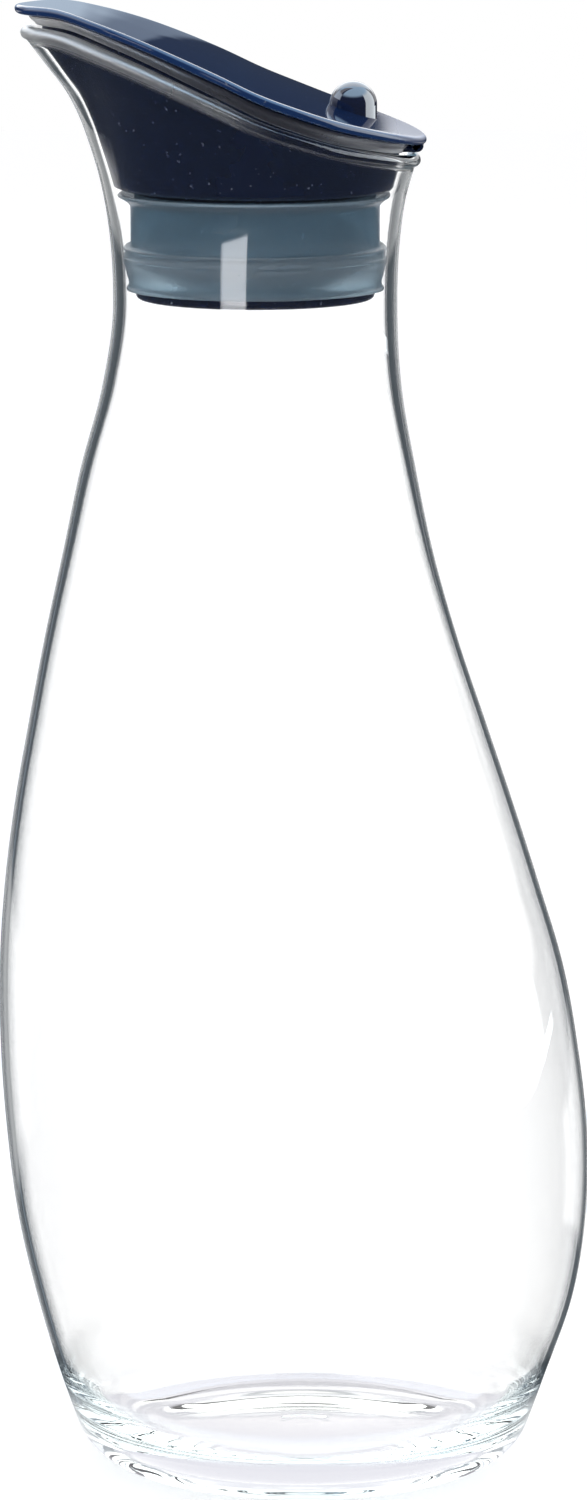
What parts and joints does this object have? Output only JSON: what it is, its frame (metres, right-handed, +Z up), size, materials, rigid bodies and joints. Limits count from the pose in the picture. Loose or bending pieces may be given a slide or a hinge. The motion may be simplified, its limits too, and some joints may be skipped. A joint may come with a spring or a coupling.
{
  "type": "carafe with flip lid",
  "caption": "Clear glass carafe with a leaning belly and drawn-out spout, closed by a push-in pouring stopper with silicone seals and a hinged flip lid.",
  "frame": {"origin": "middle of the object's footprint, on the table plane under the glass base", "axes": "+Z up along the carafe's height, -X towards the pouring spout, +X towards the lid's hinge"},
  "size_m": [0.1174, 0.116, 0.2901],
  "materials": {
    "clear_glass": "polished clear",
    "navy_collar": "gloss",
    "neck_silicone": "translucent satin",
    "rim_silicone": "translucent satin",
    "navy_lid": "high gloss",
    "navy_knob": "high gloss",
    "pin_steel": "brushed"
  },
  "bodies": {
    "vessel": {"vessel": "clear_glass"},
    "stopper": {"stopper": "navy_collar", "neck_gasket": "neck_silicone", "rim_seal": "rim_silicone", "hinge_pin": "pin_steel"},
    "lid": {"lid": "navy_lid", "thumb_knob": "navy_knob"}
  },
  "joints": [
    {"name": "stopper_lift", "type": "slide", "parent": "vessel", "child": "stopper", "axis": [0, 0, 1], "range_m": [0, 0.06]},
    {"name": "lid_flip", "type": "hinge", "parent": "stopper", "child": "lid", "pos_m": [0.0239, 0, 0.26303], "axis": [0, 1, 0], "range_deg": [0, 80]}
  ]
}
